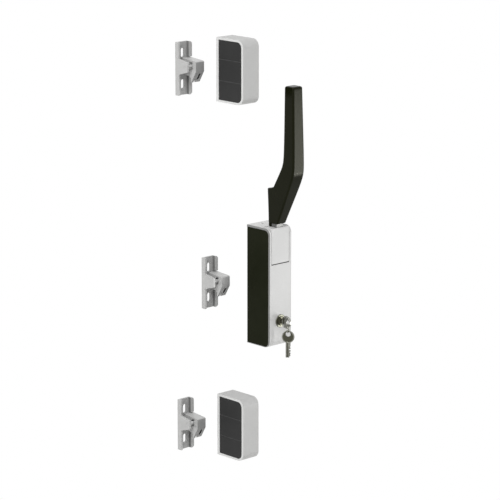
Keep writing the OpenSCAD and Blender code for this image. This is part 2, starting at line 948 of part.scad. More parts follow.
// Side outline of the nose, with the round seat behind its hook that holds the roller.
module nose_outline() {
    difference() {
        polygon([[nose_rear, nose_top], [nose_d - 1.2, nose_top - 2], [nose_d, nose_top - 3.2],
            [nose_d, -ramp_top], [nose_d - ramp_run, 0.6 - hook_low],
            [nose_d - ramp_run - 0.6, -hook_low], [seat_u, -hook_low],
            [seat_u, -roller_drop + seat_r + 0.15], [nose_rear, -nose_under]]);
        translate([seat_u, -roller_drop])
            circle(seat_r);
        translate([seat_u - seat_r, -hook_low - 1])
            square([2 * seat_r, hook_low + 1 - roller_drop]);
    }
}

module strike_nose() {
    color([0.66, 0.66, 0.65])
        difference() {
            side(nose_mid, nose_w)
                nose_outline();
            side(nose_mid, nose_w + 1)
                link([bolt_u - nose_travel, bolt_z], [bolt_u, bolt_z], bolt_r + 0.3);
            side(strike_w, 8)
                link([bolt_u - nose_travel, bolt_z], [bolt_u, bolt_z], bolt_r + 2.6);
            block(strike_w - nose_w - 1, strike_w - nose_w + pocket_d, bolt_u - 2.8, bolt_u + 4.2,
                bolt_z - pocket_half, bolt_z + pocket_half);
            block(nose_mid - fork_left, nose_mid - fork_right, seat_u, nose_d,
                -hook_low - 4, -roller_drop + 1.5);
            translate([nose_mid + groove_x, -nose_d + 4, -8.2])
                rotate([32, 0, 0])
                    for (k = [-1, 1])
                        translate([0, 0, 3 * k])
                            rotate([90, 0, 0])
                                cylinder(r = 1.5, h = 4, center = true);
            translate([nose_mid + groove_x, -nose_d + 4, -8.2])
                rotate([32, 0, 0])
                    cube([3, 4, 6], center = true);
        }
}

module strike_bolt() {
    color([0.5, 0.5, 0.5])
        difference() {
            union() {
                bar_x((strike_w - 2) / 2, bolt_u, bolt_z, bolt_r, strike_w - 2.4);
                bar_x(strike_w - 2.3, bolt_u, bolt_z, bolt_r + 2, 3.2);
            }
            translate([strike_w - 2.6, -bolt_u, bolt_z])
                rotate([0, 90, 0])
                    cylinder(r = 2.3, h = 4, $fn = 6);
        }
}

module at_strike(x, z) {
    translate([x, frame_y, z])
        children();
}

end_x = box_x - box_w / 2 - end_strike_x;
mid_x = -case_w / 2 - mid_strike_x;

module upper_strike_base() {
    at_strike(end_x, upper_z + end_lift)
        strike_base();
}

module upper_strike_nose() {
    at_strike(end_x, upper_z + end_lift)
        strike_nose();
}

module upper_strike_bolt() {
    at_strike(end_x, upper_z + end_lift)
        strike_bolt();
}

module middle_strike_base() {
    at_strike(mid_x, mid_lift)
        strike_base();
}

module middle_strike_nose() {
    at_strike(mid_x, mid_lift)
        strike_nose();
}

module middle_strike_bolt() {
    at_strike(mid_x, mid_lift)
        strike_bolt();
}

module lower_strike_base() {
    at_strike(end_x, lower_z + end_lift)
        strike_base();
}

module lower_strike_nose() {
    at_strike(end_x, lower_z + end_lift)
        strike_nose();
}

module lower_strike_bolt() {
    at_strike(end_x, lower_z + end_lift)
        strike_bolt();
}

main_housing();
main_cap_left();
main_cap_right();
main_back_plate();
case_screws();
lever_hub();
hub_cover();
lever_grip();
grip_screw();
crank_pin();
pivot_pin();
pivot_clips();
main_yoke();
main_roller();
main_axle();
main_spring();
lock_cylinder();
cylinder_nut();
lock_plug();
lock_cam();
cam_screw();
inserted_key();
key_ring();
spare_key();
upper_housing();
upper_cap_left();
upper_cap_right();
upper_yoke();
upper_roller();
upper_axle();
upper_spring();
lower_housing();
lower_cap_left();
lower_cap_right();
lower_yoke();
lower_roller();
lower_axle();
lower_spring();
upper_strike_base();
upper_strike_nose();
upper_strike_bolt();
middle_strike_base();
middle_strike_nose();
middle_strike_bolt();
lower_strike_base();
lower_strike_nose();
lower_strike_bolt();
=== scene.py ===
# %% [markdown]
# A three-point door lock, dressed for the camera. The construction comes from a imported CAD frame: a lever
# case with a key cylinder, two end latch boxes and three hook strikes. All of it could be modelled again
# in Blender, but then its sizes and joints would be guesses. So this lesson loads the frame, gives every
# piece the finish of the real one, rebuilds only the pieces that want a finer skin, and lights the set.

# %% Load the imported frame
import json
import math

import bmesh
import bpy
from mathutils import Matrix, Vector


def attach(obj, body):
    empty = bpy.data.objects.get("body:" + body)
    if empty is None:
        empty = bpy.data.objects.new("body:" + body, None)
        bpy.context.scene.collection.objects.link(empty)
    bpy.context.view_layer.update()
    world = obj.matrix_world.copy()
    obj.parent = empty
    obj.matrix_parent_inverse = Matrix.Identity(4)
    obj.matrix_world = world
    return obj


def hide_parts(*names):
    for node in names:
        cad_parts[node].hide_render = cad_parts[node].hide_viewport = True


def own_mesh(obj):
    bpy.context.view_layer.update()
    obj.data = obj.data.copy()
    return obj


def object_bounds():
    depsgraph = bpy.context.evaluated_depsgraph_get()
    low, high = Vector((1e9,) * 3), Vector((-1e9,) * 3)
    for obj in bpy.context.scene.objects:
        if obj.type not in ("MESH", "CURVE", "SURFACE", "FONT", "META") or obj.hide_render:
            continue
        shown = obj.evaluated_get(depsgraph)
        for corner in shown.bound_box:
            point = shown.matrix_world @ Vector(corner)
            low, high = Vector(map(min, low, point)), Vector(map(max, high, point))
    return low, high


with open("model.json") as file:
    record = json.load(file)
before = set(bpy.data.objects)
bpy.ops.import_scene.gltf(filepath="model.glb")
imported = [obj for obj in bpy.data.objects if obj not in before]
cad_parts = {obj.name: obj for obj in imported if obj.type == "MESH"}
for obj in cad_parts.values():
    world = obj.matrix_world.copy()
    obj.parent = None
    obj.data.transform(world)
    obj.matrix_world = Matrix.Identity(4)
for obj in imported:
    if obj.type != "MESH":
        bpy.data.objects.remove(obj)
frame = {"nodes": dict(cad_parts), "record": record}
cad_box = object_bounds()
MM = 0.001
nodes = frame["nodes"]
slot_of = {row["node"]: row["material_slot"] for row in frame["record"]["subparts"]}

# %% [markdown]
# The photograph looks at the set from the left and a little above, with a long lens that keeps upright
# edges upright. An orthographic camera would do that too, but without any perspective. A camera far away
# with a narrow view keeps the little that a long lens has. The aim point sits a little above the middle
# of the lever case, so that the upper and the lower box are about the same distance from the edges.

# %% Camera
AZIMUTH, ELEVATION = math.radians(-43.0), math.radians(13.0)
AIM = Vector((-7.1, 6.6, 40.8)) * MM
FAR = 3.2
VIEW_SIDE = 635 * MM
SENSOR = 36.0

towards = Vector((math.sin(AZIMUTH) * math.cos(ELEVATION), -math.cos(AZIMUTH) * math.cos(ELEVATION),
                  math.sin(ELEVATION)))
camera_data = bpy.data.cameras.new("long_lens")
camera_data.sensor_width = SENSOR
camera_data.lens = SENSOR * FAR / VIEW_SIDE
camera_data.clip_end = 50.0
camera = bpy.data.objects.new("long_lens", camera_data)
camera.location = AIM + towards * FAR
camera.rotation_euler = (-towards).to_track_quat("-Z", "Y").to_euler()
bpy.context.collection.objects.link(camera)
bpy.context.scene.camera = camera
print("camera at", [round(v, 3) for v in camera.location], "lens", round(camera_data.lens, 1))

# %% [markdown]
# Every surface here is a small network of shader nodes, and a few steps come back in all of them: a new
# material, the place of a point on the set, and a range that turns one span of numbers into another. They
# could be wired by hand in the shader editor. Short helpers say the same in one line, and each returns the
# socket that the next step uses.

# %% Node helpers
def new_material(name):
    material = bpy.data.materials.new(name)
    material.use_nodes = True
    tree = material.node_tree
    return material, tree, tree.nodes["Principled BSDF"]


def place_on_set(tree):
    return tree.nodes.new("ShaderNodeTexCoord").outputs["Object"]


def ramp(tree, value, low_at, high_at, low, high):
    node = tree.nodes.new("ShaderNodeMapRange")
    node.inputs["From Min"].default_value = low_at
    node.inputs["From Max"].default_value = high_at
    node.inputs["To Min"].default_value = low
    node.inputs["To Max"].default_value = high
    tree.links.new(value, node.inputs["Value"])
    return node.outputs["Result"]


print("node helpers: new_material, place_on_set, ramp")

# %% [markdown]
# Masks are worked out with sums, on single numbers and on vectors. The Math and Vector Math nodes do them,
# and each could be laid out in the editor. One helper for each kind keeps a formula readable in code: a
# plain number is written on the socket, and anything else is linked to it.

# %% Node helpers for sums
def number_step(tree, operation, *values):
    node = tree.nodes.new("ShaderNodeMath")
    node.operation = operation
    for socket, value in zip(node.inputs, values):
        if isinstance(value, float):
            socket.default_value = value
        else:
            tree.links.new(value, socket)
    return node.outputs[0]


def vector_step(tree, operation, value, other=None):
    node = tree.nodes.new("ShaderNodeVectorMath")
    node.operation = operation
    tree.links.new(value, node.inputs[0])
    if other:
        node.inputs[1].default_value = other
    return node.outputs["Value" if operation in ("LENGTH", "DOT_PRODUCT") else "Vector"]


print("node helpers: number_step, vector_step")

# %% [markdown]
# The set floats on white, as hardware does in a catalogue. White could come from strong lamps, but they
# would bleach the pieces too. So a wide pale floor lies far below. Camera, mirror and glass rays see it as
# plain white, and every other ray meets an ordinary pale surface and brings back natural light. Under the
# set the white is only partial, so the floor keeps the soft shadow there.

# %% Floor finish
SHADOW_FROM, SHADOW_TO = 0.3, 1.0
WHITE_UNDER_SET = 0.6


def background_rays(tree):
    path = tree.nodes.new("ShaderNodeLightPath")
    seen = number_step(tree, "MAXIMUM", path.outputs["Is Camera Ray"], path.outputs["Is Glossy Ray"])
    return number_step(tree, "MAXIMUM", seen, path.outputs["Is Transmission Ray"])


def floor_material():
    material, tree, shader = new_material("pale_floor")
    shader.inputs["Base Color"].default_value = (0.88, 0.88, 0.87, 1.0)
    shader.inputs["Roughness"].default_value = 0.7
    on_floor = vector_step(tree, "MULTIPLY", place_on_set(tree), (1, 1, 0))
    from_middle = vector_step(tree, "LENGTH", on_floor)
    whiter = ramp(tree, from_middle, SHADOW_FROM, SHADOW_TO, WHITE_UNDER_SET, 1.0)
    glow = tree.nodes.new("ShaderNodeEmission")
    glow.inputs["Color"].default_value = (1.0, 1.0, 1.0, 1.0)
    glow.inputs["Strength"].default_value = 1.0
    mix = tree.nodes.new("ShaderNodeMixShader")
    tree.links.new(number_step(tree, "MULTIPLY", background_rays(tree), whiter), mix.inputs["Fac"])
    tree.links.new(shader.outputs["BSDF"], mix.inputs[1])
    tree.links.new(glow.outputs["Emission"], mix.inputs[2])
    tree.links.new(mix.outputs["Shader"], tree.nodes["Material Output"].inputs["Surface"])
    return material


print("floor finish: pure white beyond", SHADOW_TO, "m")

# %% [markdown]
# The floor itself is one wide square below the set. The plane operator would make one, but operators depend
# on the state of the editor. Four listed corners give the same square, at a height that is measured from
# the CAD box.

# %% Floor
FLOOR_DROP = 0.45
FLOOR_SIDE = 30.0
floor_mesh = bpy.data.meshes.new("floor")
half = FLOOR_SIDE / 2
low = cad_box[0][2] - FLOOR_DROP
floor_mesh.from_pydata([(-half, -half, low), (half, -half, low), (half, half, low), (-half, half, low)],
                       [], [(0, 1, 2, 3)])
floor = bpy.data.objects.new("floor", floor_mesh)
bpy.context.collection.objects.link(floor)
floor.data.materials.append(floor_material())
print("floor at", round(low, 3))

# %% [markdown]
# Studio light: one wide panel above and to the left models the forms, and one overhead lifts the top faces.
# Sun or spot lamps would be simpler, but their hard edges don't look like a catalogue. A smooth upright face
# seen from the left mirrors a place low in front and to the right. A tall panel stands there and puts the
# soft sheen on the front of the lever, and a small one below it lights its bend.

# %% Lights
def panel(name, place, target, width, height, power):
    data = bpy.data.lights.new(name, "AREA")
    data.shape = "RECTANGLE"
    data.size = width
    data.size_y = height
    data.energy = power
    lamp = bpy.data.objects.new(name, data)
    lamp.location = Vector(place)
    lamp.rotation_euler = (Vector(target) - lamp.location).to_track_quat("-Z", "Y").to_euler()
    bpy.context.collection.objects.link(lamp)


panel("key_panel", (-1.8, -0.85, 1.9), (0, 0, 0.05), 1.3, 1.3, 45)
panel("low_panel", (0.95, -1.07, -0.18), (0, -0.06, 0.18), 0.30, 0.56, 5.0)
panel("bend_panel", (0.95, -1.0, -0.50), (0, -0.06, 0.15), 0.16, 0.16, 1.6)
panel("top_panel", (-0.1, -0.1, 2.2), (-0.05, 0, 0), 1.5, 1.5, 9)

# %% [markdown]
# The room gives the even light of a white studio. A picture of a studio could do that, but bright metal
# would show it. A plain white world lights the set at half strength instead, and the rays that see the
# background get full white. The Standard view keeps every colour as it is written.

# %% Room
ROOM_LIGHT = 0.50
world = bpy.data.worlds.new("white_room")
world.use_nodes = True
room = world.node_tree
room.nodes["Background"].inputs["Color"].default_value = (1.0, 1.0, 1.0, 1.0)
room.links.new(ramp(room, background_rays(room), 0.0, 1.0, ROOM_LIGHT, 1.0),
               room.nodes["Background"].inputs["Strength"])
bpy.context.scene.world = world
bpy.context.scene.view_settings.view_transform = "Standard"
print("room light:", ROOM_LIGHT)

# %% [markdown]
# Paint, castings and moulded plastic are never one flat colour. A slow noise shifts their tone, and a fine
# one gives the grain. Photographs of real surfaces could supply both, but they have to be fitted to every
# piece. Noise that follows the place on the set needs no fitting, and its scale is true on each piece.

# %% Noise and blends
MIX_COLOURS, MIX_RESULT = (6, 7), 2


def noise(tree, scale, detail, coords):
    node = tree.nodes.new("ShaderNodeTexNoise")
    node.inputs["Scale"].default_value = scale
    node.inputs["Detail"].default_value = detail
    tree.links.new(coords, node.inputs["Vector"])
    return node.outputs["Fac"]


def blend_colours(tree, factor, one, two):
    node = tree.nodes.new("ShaderNodeMix")
    node.data_type = "RGBA"
    for socket, colour in zip([node.inputs[i] for i in MIX_COLOURS], (one, two)):
        if isinstance(colour, tuple):
            socket.default_value = (*colour, 1.0)
        else:
            tree.links.new(colour, socket)
    tree.links.new(factor, node.inputs[0])
    return node.outputs[MIX_RESULT]


print("finish helpers: noise, blend_colours")

# %% [markdown]
# Hands and tools rub the edges of a part, so its finish is paler there, and the paler rim is also a painted
# highlight: the thin line of light along an edge. A worn edge could be painted by hand on each piece. Here a
# shader finds it: it compares the true normal with the one that a tiny bevel would have, and the two differ
# only close to an edge. A noise breaks the rim up, because wear is never even.

# %% Worn edges and painted edge highlights
EDGE_REACH = 0.7 * MM
NORMALS_ALIKE, NORMALS_APART = 0.995, 0.85
LEAST_WEAR_AND_SHEEN, MOST_WEAR_AND_SHEEN = 0.1, 0.5


def edge_mask(tree):
    bevel = tree.nodes.new("ShaderNodeBevel")
    bevel.samples = 4
    bevel.inputs["Radius"].default_value = EDGE_REACH
    plain = tree.nodes.new("ShaderNodeNewGeometry")
    dot = tree.nodes.new("ShaderNodeVectorMath")
    dot.operation = "DOT_PRODUCT"
    tree.links.new(bevel.outputs["Normal"], dot.inputs[0])
    tree.links.new(plain.outputs["Normal"], dot.inputs[1])
    return ramp(tree, dot.outputs["Value"], NORMALS_ALIKE, NORMALS_APART, 0.0, 1.0)


# Paler rim close to edges: wear, and also a painted highlight along the edge.
def worn_and_lit_rim(tree, colour, coords, patch, rim_wear_and_highlight):
    worn = ramp(tree, noise(tree, patch * 6, 3.0, coords), 0.35, 0.65, LEAST_WEAR_AND_SHEEN, MOST_WEAR_AND_SHEEN)
    return blend_colours(tree, number_step(tree, "MULTIPLY", edge_mask(tree), worn), colour, rim_wear_and_highlight)


print("edges are worn within", round(EDGE_REACH / MM, 2), "mm")

# %% [markdown]
# All finishes have one build: the slow noise between a dark and a pale tone, fine pits, the worn rim with
# its painted highlight, a gloss that varies with the grain, and the grain as bump. A node group would do,
# but a helper with plain numbers keeps each constant on the shader's own socket, and each finish below is a
# short list.

# %% Finish helper
GLOSS_SWING = 0.06
NOISE_LOW, NOISE_HIGH = 0.3, 0.7
PIT_LOW, PIT_HIGH, PIT_SHARE = 0.35, 0.6, 0.5


def finish(name, dark, pale, rough, metal=0.0, patch=40.0, grain=1500.0, depth=0.00002, strength=0.2,
           rim_wear_and_highlight=None, stretch=(1, 1, 1), gloss=0.5, tint=(1.0, 1.0, 1.0), speckle=0.08):
    material, tree, shader = new_material(name)
    coords = place_on_set(tree)
    mapping = tree.nodes.new("ShaderNodeMapping")
    mapping.inputs["Scale"].default_value = stretch
    tree.links.new(coords, mapping.inputs["Vector"])
    fine = noise(tree, grain, 3.0, mapping.outputs["Vector"])
    tone = ramp(tree, noise(tree, patch, 4.0, coords), NOISE_LOW, NOISE_HIGH, 0.0, 1.0)
    pits = tuple(v * (1 - 2 * speckle) for v in dark)
    colour = blend_colours(tree, ramp(tree, fine, PIT_LOW, PIT_HIGH, PIT_SHARE, 0.0),
                           blend_colours(tree, tone, dark, pale), pits)
    if rim_wear_and_highlight:
        colour = worn_and_lit_rim(tree, colour, coords, patch, rim_wear_and_highlight)
    tree.links.new(colour, shader.inputs["Base Color"])
    tree.links.new(ramp(tree, fine, NOISE_LOW, NOISE_HIGH, rough - GLOSS_SWING, rough + GLOSS_SWING),
                   shader.inputs["Roughness"])
    bump = tree.nodes.new("ShaderNodeBump")
    bump.inputs["Strength"].default_value = strength
    bump.inputs["Distance"].default_value = depth
    tree.links.new(fine, bump.inputs["Height"])
    tree.links.new(bump.outputs["Normal"], shader.inputs["Normal"])
    shader.inputs["Metallic"].default_value = metal
    shader.inputs["Specular IOR Level"].default_value = gloss
    shader.inputs["Specular Tint"].default_value = (*tint, 1.0)
    return material


print("finish helper: roughness varies by", GLOSS_SWING)

# %% [markdown]
# The shells are aluminium with a silver powder coat, the caps are moulded with a fine black or charcoal
# grain, and the lever has a smoother satin skin. Such plastics could be made with a clear coat, but their
# shine is low and broad, and a low specular level with a warm tint gives just that.

# %% Paint and plastic
finishes = {
    "silver_paint": finish("silver_powder_coat", (0.605, 0.605, 0.60), (0.645, 0.645, 0.64), 0.46,
                           patch=22, grain=1100, depth=0.00003, strength=0.12, rim_wear_and_highlight=(0.78, 0.78, 0.775),
                           gloss=0.25, speckle=0.05),
    "black_cap": finish("black_grain_cap", (0.0082, 0.0098, 0.0034), (0.0115, 0.0132, 0.0060), 0.50,
                        patch=30, grain=1900, depth=0.00006, strength=0.35, rim_wear_and_highlight=(0.03, 0.031, 0.025),
                        gloss=0.06, tint=(1.0, 1.0, 0.8), speckle=0.22),
    "grey_cap": finish("charcoal_grain_cap", (0.029, 0.029, 0.029), (0.036, 0.036, 0.036), 0.50, patch=30,
                       grain=1900, depth=0.00006, strength=0.35, rim_wear_and_highlight=(0.05, 0.05, 0.05), gloss=0.15,
                       speckle=0.18),
    "lever_plastic": finish("satin_black_lever", (0.0052, 0.0059, 0.0016), (0.0072, 0.0079, 0.0028), 0.21,
                            patch=35, grain=1600, depth=0.00004, strength=0.1, rim_wear_and_highlight=(0.02, 0.02, 0.016),
                            gloss=0.09, tint=(1.0, 1.0, 0.78)),
}
print("paint and plastic:", sorted(finishes))

# %% [markdown]
# The small parts are zinc plate, bright steel, spring wire, dull chrome, brass and nickel, and the strikes
# are castings with a satin skin. Drawn and turned metal has its grain along one direction. An anisotropic
# shader could show that, but it is lost in many exports, so the noise itself is drawn out in one direction.

# %% Metals
finishes.update({
    "zinc_steel": finish("zinc_plate", (0.50, 0.50, 0.49), (0.62, 0.62, 0.61), 0.38, metal=0.9, patch=60,
                         grain=900, depth=0.00002, strength=0.15, rim_wear_and_highlight=(0.72, 0.72, 0.71)),
    "bright_steel": finish("bright_steel", (0.55, 0.55, 0.54), (0.66, 0.66, 0.65), 0.28, metal=1.0,
                           patch=90, grain=700, stretch=(1, 1, 9), depth=0.00001, strength=0.1),
    "spring_steel": finish("drawn_wire", (0.32, 0.32, 0.33), (0.45, 0.45, 0.46), 0.34, metal=1.0,
                           patch=120),
    "chrome": finish("dull_chrome", (0.11, 0.11, 0.085), (0.20, 0.20, 0.165), 0.34, metal=1.0, patch=70),
    "dark_brass": finish("plug_brass", (0.08, 0.079, 0.056), (0.15, 0.147, 0.108), 0.36, metal=0.9,
                         patch=120),
    "nickel": finish("key_nickel", (0.15, 0.15, 0.125), (0.34, 0.34, 0.30), 0.20, metal=1.0, patch=180,
                     grain=900, stretch=(8, 8, 1), depth=0.00002, strength=0.2, rim_wear_and_highlight=(0.50, 0.50, 0.46)),
    "strike_cast": finish("strike_casting", (0.51, 0.51, 0.505), (0.55, 0.55, 0.545), 0.48, metal=0.2,
                          patch=45, grain=1300, depth=0.00004, strength=0.15, rim_wear_and_highlight=(0.64, 0.64, 0.635),
                          gloss=0.25),
    "strike_nose": finish("nose_casting", (0.51, 0.51, 0.505), (0.55, 0.55, 0.545), 0.46, metal=0.2,
                          patch=45, grain=1300, depth=0.00004, strength=0.15, rim_wear_and_highlight=(0.63, 0.63, 0.625),
                          gloss=0.25),
})
print("finishes:", len(finishes))

# %% [markdown]
# The record of the lock names a finish for each piece, as a parts list does. The pieces could be dressed
# one by one, but then the list and the picture might differ. A loop reads the list and gives every piece
# the finish of that name.

# %% Dress every piece
for name, piece in nodes.items():
    piece.data.materials.clear()
    piece.data.materials.append(finishes[slot_of[name]])
print("dressed:", len(nodes))

# %% [markdown]
# Some pieces differ a little from their family. The end boxes get a darker copy of the lever case's paint,
# as painted shade for the dimmer light on them. The hub under the lever is a raw casting, so it is greyer
# than plated steel. The clamping bolts get a paler, less metallic zinc, a painted highlight that keeps them
# light in their shaded pockets. The key in the lock gets a paler copy of the key nickel, a painted highlight
# for its brighter reflections, and the spare does not. They could have slots of their own in the record, but
# only their tone differs, so they just change their finish here. Boxes and bolts get theirs further on,
# with their painted places.

# %% Finishes of their own
# Painted highlight: a paler, less metallic zinc for the clamping bolts.
bolt_zinc = finish("bolt_zinc", (0.66, 0.66, 0.655), (0.76, 0.76, 0.755), 0.42, metal=0.3, patch=90,
                   grain=900, depth=0.00002, strength=0.15, rim_wear_and_highlight=(0.82, 0.82, 0.815))
# Painted shade: a darker copy of the silver paint for the end boxes.
shaded_box_powder_coat = finish("shaded_box_powder_coat", (0.445, 0.445, 0.44), (0.485, 0.485, 0.48), 0.46, patch=22,
                         grain=1100, depth=0.00003, strength=0.12, rim_wear_and_highlight=(0.76, 0.76, 0.755), gloss=0.25,
                         speckle=0.05)
OWN = {
    "lever_hub": finish("raw_hub_casting", (0.16, 0.16, 0.155), (0.22, 0.22, 0.215), 0.42, metal=0.9,
                        patch=60, grain=900, depth=0.00002, strength=0.15, rim_wear_and_highlight=(0.36, 0.36, 0.355)),
    # Painted highlight: a paler copy of the key nickel for the key in the lock.
    "inserted_key": finish("lit_key_nickel", (0.34, 0.34, 0.315), (0.52, 0.52, 0.485), 0.20, metal=1.0,
                           patch=140, grain=900, stretch=(8, 8, 1), depth=0.00002, strength=0.2,
                           rim_wear_and_highlight=(0.62, 0.62, 0.59)),
}
for name, material in OWN.items():
    nodes[name].data.materials[0] = material
print("own finishes:", sorted(OWN))

# %% [markdown]
# Many pieces have places with a skin of their own: a bare inside, a cut edge, a milled pocket. They could be
# faces with a second material, but the CAD meshes stay as they are. A mask by place does it instead: a box,
# grown by a radius in depth and height, and sharp across the width.

# %% Painted places
SHARP_WIDTH = (1000, 1, 1)


def within(tree, centre, half_size, grown=0.01):
    offset = vector_step(tree, "SUBTRACT", place_on_set(tree), [v * MM for v in centre])
    away = vector_step(tree, "ABSOLUTE", offset)
    over = vector_step(tree, "SUBTRACT", away, [v * MM for v in half_size])
    outside = vector_step(tree, "MULTIPLY", vector_step(tree, "MAXIMUM", over, (0, 0, 0)), SHARP_WIDTH)
    return number_step(tree, "LESS_THAN", vector_step(tree, "LENGTH", outside), grown * MM)


def colour_so_far(material):
    tree = material.node_tree
    socket = tree.nodes["Principled BSDF"].inputs["Base Color"]
    return tree, socket, socket.links[0].from_socket


def repaint(source, name, areas):
    material = source.copy()
    material.name = name
    tree, socket, colour = colour_so_far(material)
    for colour_there, *area in areas:
        colour = blend_colours(tree, within(tree, *area), colour, colour_there)
    tree.links.new(colour, socket)
    return material


print("painted places: within, colour_so_far, repaint")

# %% [markdown]
# Powder coat covers the outside of the lever case. Its inside, seen through the joint round the hub block,
# is painted dark as painted shade, because hardly any light gets in. The mask for that has the outline of
# the case, a little smaller. The shells are cut from long profiles. The cut edge beside the cap is painted
# darker on the case, as painted shade, and paler on the boxes, as a painted highlight. Loops of new faces
# could mark that edge, but a thin slab at each side finds it.

# %% Case and box paint
CASE_HALF_WIDTH, BOX_HALF_WIDTH, BOX_X = 18.5, 13.5, -56.5
# Painted shade: the inside of the case is dark grey.
PAINTED_SHADE_INSIDE_CASE = ((0.07, 0.07, 0.07), (0, 0, 0), (18.1, 33.0, 68.0), 8.6)
EDGE_LIGHT_SLAB = (0.4, 1000, 1000)


# Slabs at both cut edges: painted shade on the case, painted highlight on the boxes.
def edge_light_and_shade(colour, middle, half_width):
    return [(colour, (middle + side * half_width, 0, 0), EDGE_LIGHT_SLAB) for side in (-1, 1)]


# Painted shade: the inside and the cut edges of the case are darker grey.
case_paint = repaint(finishes["silver_paint"], "silver_powder_coat_case",
                     [PAINTED_SHADE_INSIDE_CASE] + edge_light_and_shade((0.24, 0.24, 0.237), 0.0, CASE_HALF_WIDTH))
# Painted highlight: the cut edges of the end boxes are paler.
box_paint = repaint(shaded_box_powder_coat, "shaded_box_coat_lit_edges",
                    edge_light_and_shade((0.68, 0.68, 0.675), BOX_X, BOX_HALF_WIDTH))
for name in ("main_housing", "hub_cover"):
    nodes[name].data.materials[0] = case_paint
for name in ("upper_housing", "lower_housing"):
    nodes[name].data.materials[0] = box_paint
print("painted:", case_paint.name, box_paint.name)

# %% [markdown]
# The strikes are die castings, with paler rims. The floor and the inner wall of the channel are painted
# darker, as painted shade. The deep pocket round the clamping bolt is painted pale, a painted light where
# shade would fall, the groove in the ramp is painted near black as painted shade, and the end of the bolt
# is as dull as the wall round it. One finish for all strikes would need masks at three places. So each
# strike gets its own copy, with the same places moved along.

# %% Strike castings
STRIKES = {"upper": (-112.5, 282.0), "middle": (-70.5, 4.5), "lower": (-112.5, -173.0)}
# Painted shade: the channel floor and its inner wall are darker grey.
CHANNEL_FLOOR_SHADE = ((0.42, 0.42, 0.417), (9.8, 24.9, 0.0), (7.6, 3.0, 40.0))
CHANNEL_WALL_SHADE = ((0.20, 0.20, 0.198), (17.0, 24.9, 0.0), (0.4, 3.0, 40.0))
# Painted light: the deep pocket round the bolt is pale.
BOLT_POCKET_LIGHT = ((0.78, 0.78, 0.775), (11.35, 9.3, 4.5), (2.35, 3.6, 5.2))
# Painted shade: the groove in the ramp is near black.
RAMP_GROOVE_SHADE = ((0.06, 0.06, 0.06), (16.5, 3.6, -8.2), (1.6, 4.5, 5.0))
BOLT_END = ((0.48, 0.48, 0.475), (0.5, 10.0, 4.5), (2.4, 6.0, 6.0))
STRIKE_PIECES = {"base": (finishes["strike_cast"], "_strike_casting", (CHANNEL_FLOOR_SHADE, CHANNEL_WALL_SHADE)),
                 "nose": (finishes["strike_nose"], "_nose_casting", (BOLT_POCKET_LIGHT, RAMP_GROOVE_SHADE)),
                 "bolt": (bolt_zinc, "_bolt_zinc", (BOLT_END,))}
for strike, (x, z) in STRIKES.items():
    for kind, (source, ending, areas) in STRIKE_PIECES.items():
        moved = [(colour, (x + dx, y, z + dz), size) for colour, (dx, y, dz), size in areas]
        nodes[strike + "_strike_" + kind].data.materials[0] = repaint(source, strike + ending, moved)
print("strikes repainted:", len(STRIKES))

# %% [markdown]
# Rollers run up the front of a nose and over its ramp each time the door closes. These two faces are
# painted a duller grey than the sides, as painted shade for faces that turn away from the key light. The
# faces could be picked out by their normals, but the round edges between them would then look cut. A thin
# layer under both planes is the shaded place.

# %% Painted shade on the nose fronts
SHADE_SKIN = 0.3
FRONT_SHADE_GREY = (0.34, 0.34, 0.337)
NOSE_FRONT, RAMP_BELOW_MIDDLE = 0.5, 1.8
RAMP_DEPTH, RAMP_HEIGHT = 8.0, 13.4
RAMP_SLOPE = math.atan2(RAMP_DEPTH, RAMP_HEIGHT)
RAMP_NORMAL = (0, -math.cos(RAMP_SLOPE), -math.sin(RAMP_SLOPE))


def deeper_than(tree, normal, offset):
    along = vector_step(tree, "DOT_PRODUCT", place_on_set(tree), normal)
    return number_step(tree, "LESS_THAN", along, offset * MM)


# Painted shade: the front and the ramp of each nose take a duller grey.
for strike, (x, z) in STRIKES.items():
    tree, socket, cast = colour_so_far(nodes[strike + "_strike_nose"].data.materials[0])
    ramp_at = NOSE_FRONT * math.cos(RAMP_SLOPE) - (z - RAMP_BELOW_MIDDLE) * math.sin(RAMP_SLOPE)
    out_of_front_shade = number_step(tree, "MULTIPLY", deeper_than(tree, (0, -1, 0), NOSE_FRONT - SHADE_SKIN),
                         deeper_than(tree, RAMP_NORMAL, ramp_at - SHADE_SKIN))
    tree.links.new(blend_colours(tree, out_of_front_shade, FRONT_SHADE_GREY, cast), socket)
print("worn fronts:", len(STRIKES))

# %% [markdown]
# A stamped key has a raised rim round its bow and milled grooves along its blade. Handling polishes what
# stands up. What lies deep is painted darker, as painted shade with the dirt that stays there. An occlusion
# shader could find the deep places, but it is slow. Each key is flat, so the deep places are simply the
# points close to its middle plane.

# %% Dirt and painted shade in the keys
SPARE_TURN, RING_Y = math.radians(35), -56.5
HALF_DEPTH = 0.85
SPARE_NORMAL = (math.cos(SPARE_TURN), math.sin(SPARE_TURN), 0)
KEY_PLANES = {"inserted_key": ((1, 0, 0), 0.0, (0.30, 0.30, 0.275)),
              "spare_key": (SPARE_NORMAL, RING_Y * math.sin(SPARE_TURN), (0.075, 0.075, 0.056))}
# Dirt and painted shade: points close to the middle plane take the darker colour.
for name, (normal, offset, dirt_and_shade) in KEY_PLANES.items():
    tree, socket, bright = colour_so_far(nodes[name].data.materials[0])
    along = vector_step(tree, "DOT_PRODUCT", place_on_set(tree), normal)
    deep = number_step(tree, "COMPARE", along, offset * MM, HALF_DEPTH * MM)
    tree.links.new(blend_colours(tree, deep, bright, dirt_and_shade), socket)
print("dirt in:", sorted(KEY_PLANES))

# %% [markdown]
# The caps of the end boxes carry two fine moulded lines that part them into three fields. The lines are
# cut in the CAD caps. Their floor is painted paler than the grain around them, a painted highlight where
# the grooves would render dark. Faces of their own could show that, but two thin slabs of paler colour do
# it without new edges.

